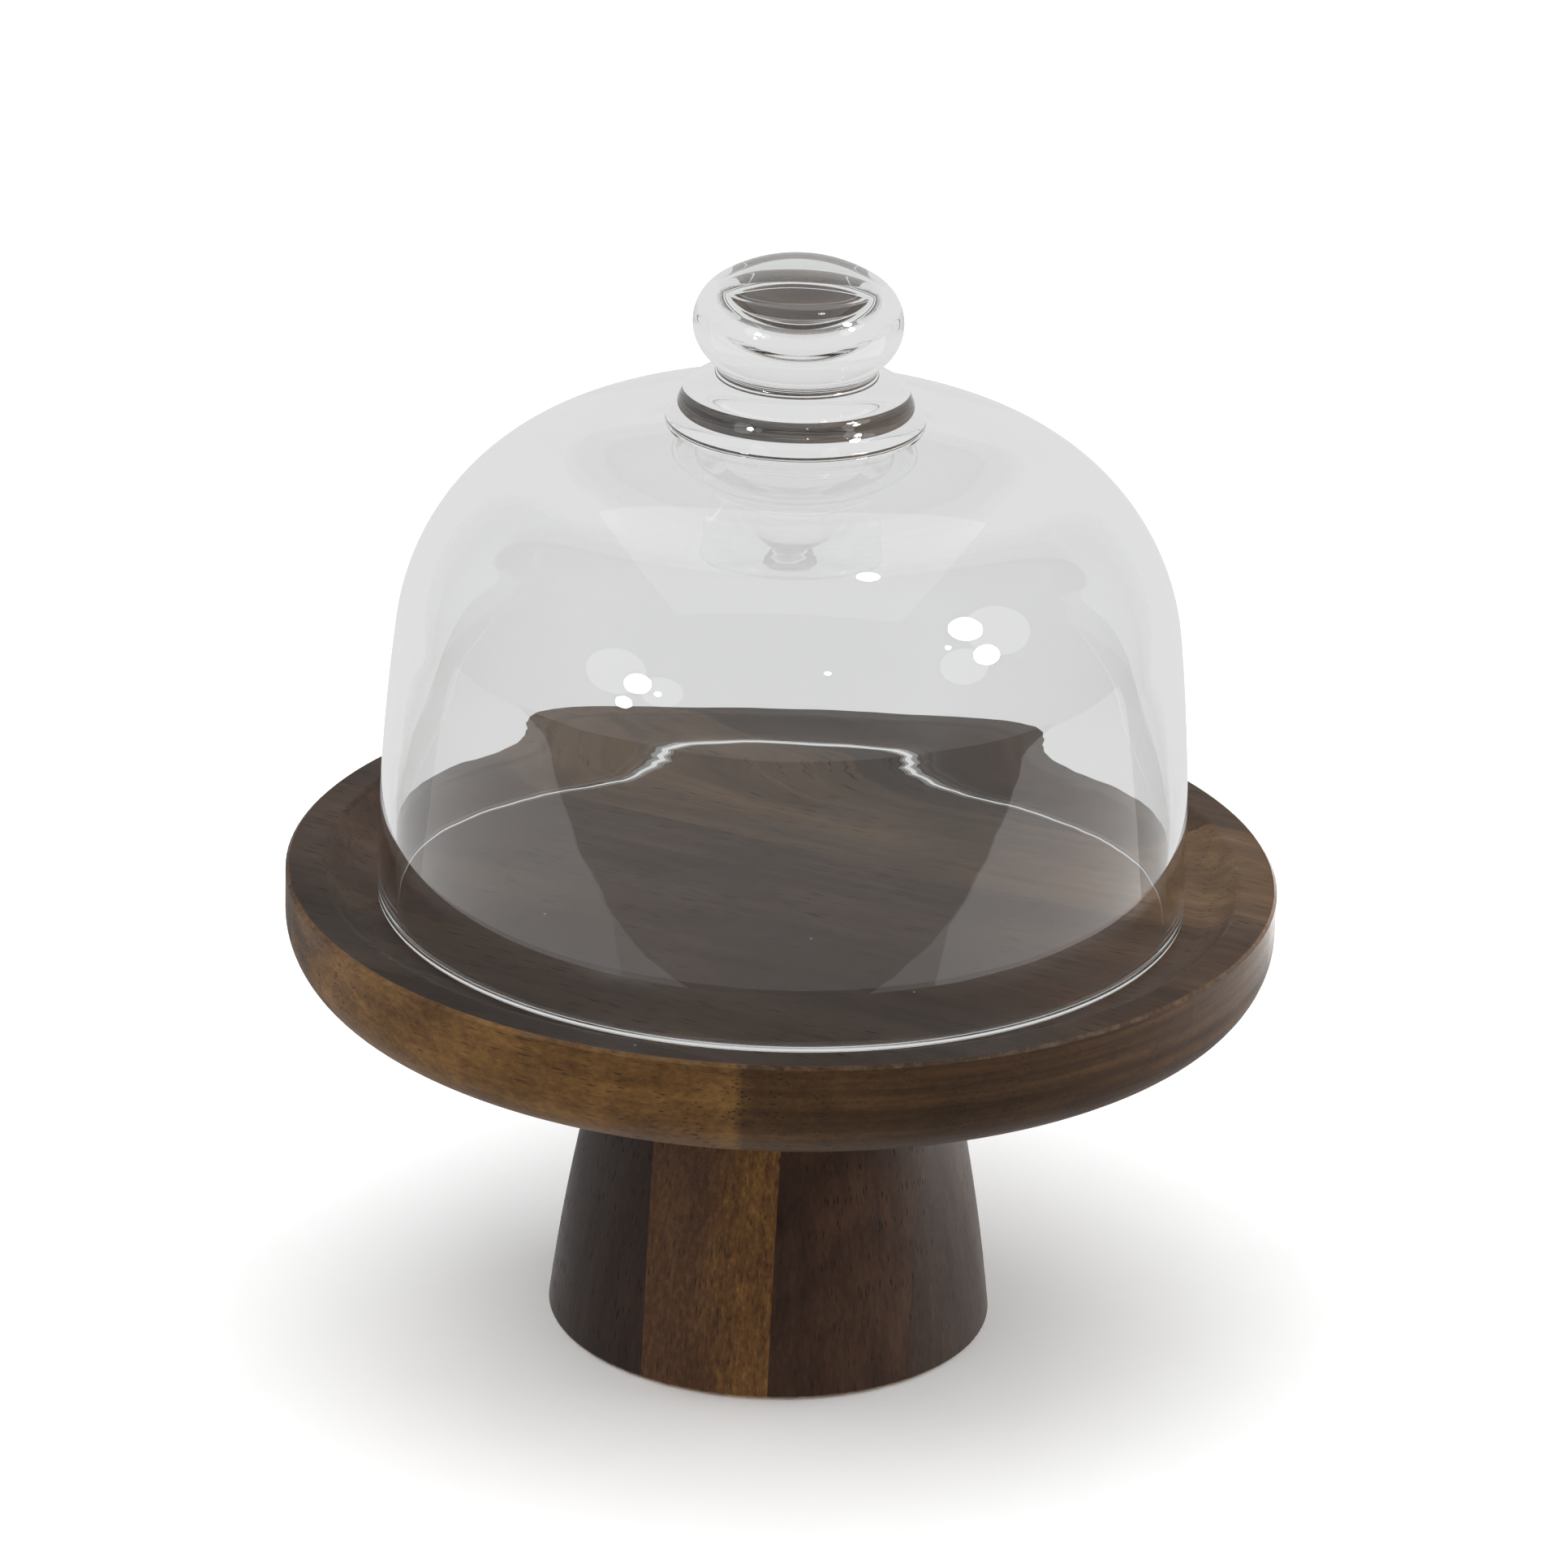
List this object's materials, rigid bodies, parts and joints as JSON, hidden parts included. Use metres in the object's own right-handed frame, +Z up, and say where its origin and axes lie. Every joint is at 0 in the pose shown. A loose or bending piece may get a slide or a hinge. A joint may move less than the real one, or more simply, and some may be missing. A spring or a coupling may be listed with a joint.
{
  "type": "glass dome with footed stand",
  "caption": "Clear glass dome with a round glass knob, standing in the recess of a round stained-wood plate on a turned foot.",
  "frame": {"origin": "middle of the felt pad's underside, on the axis that the plate, foot and dome share", "axes": "+Z up along that axis; +X to the right and +Y away as seen from the front"},
  "size_m": [0.2, 0.2, 0.2262],
  "materials": {
    "clear_glass": "clear, fire polished",
    "stained_plate_wood": "dark walnut stain, satin, fine long grain with short open pores",
    "stained_foot_wood": "dark walnut stain, satin, upright staves of different tone",
    "zinc_steel": "zinc plated",
    "insert_brass": "turned brass",
    "grey_felt": "pressed wool felt"
  },
  "bodies": {
    "stand": {"felt_pad": "grey_felt", "foot_stave_1": "stained_foot_wood", "foot_stave_2": "stained_foot_wood", "foot_stave_3": "stained_foot_wood", "foot_stave_4": "stained_foot_wood", "plate_board_1": "stained_plate_wood", "plate_board_2": "stained_plate_wood", "plate_board_3": "stained_plate_wood", "plate_board_4": "stained_plate_wood", "plate_board_5": "stained_plate_wood", "plate_board_6": "stained_plate_wood", "hanger_bolt": "zinc_steel", "threaded_insert": "insert_brass"},
    "dome": {"dome_shell": "clear_glass", "dome_knob": "clear_glass"}
  },
  "joints": [
    {"name": "dome_lift", "type": "slide", "parent": "stand", "child": "dome", "axis": [0, 0, 1], "range_m": [0, 0.15]}
  ]
}
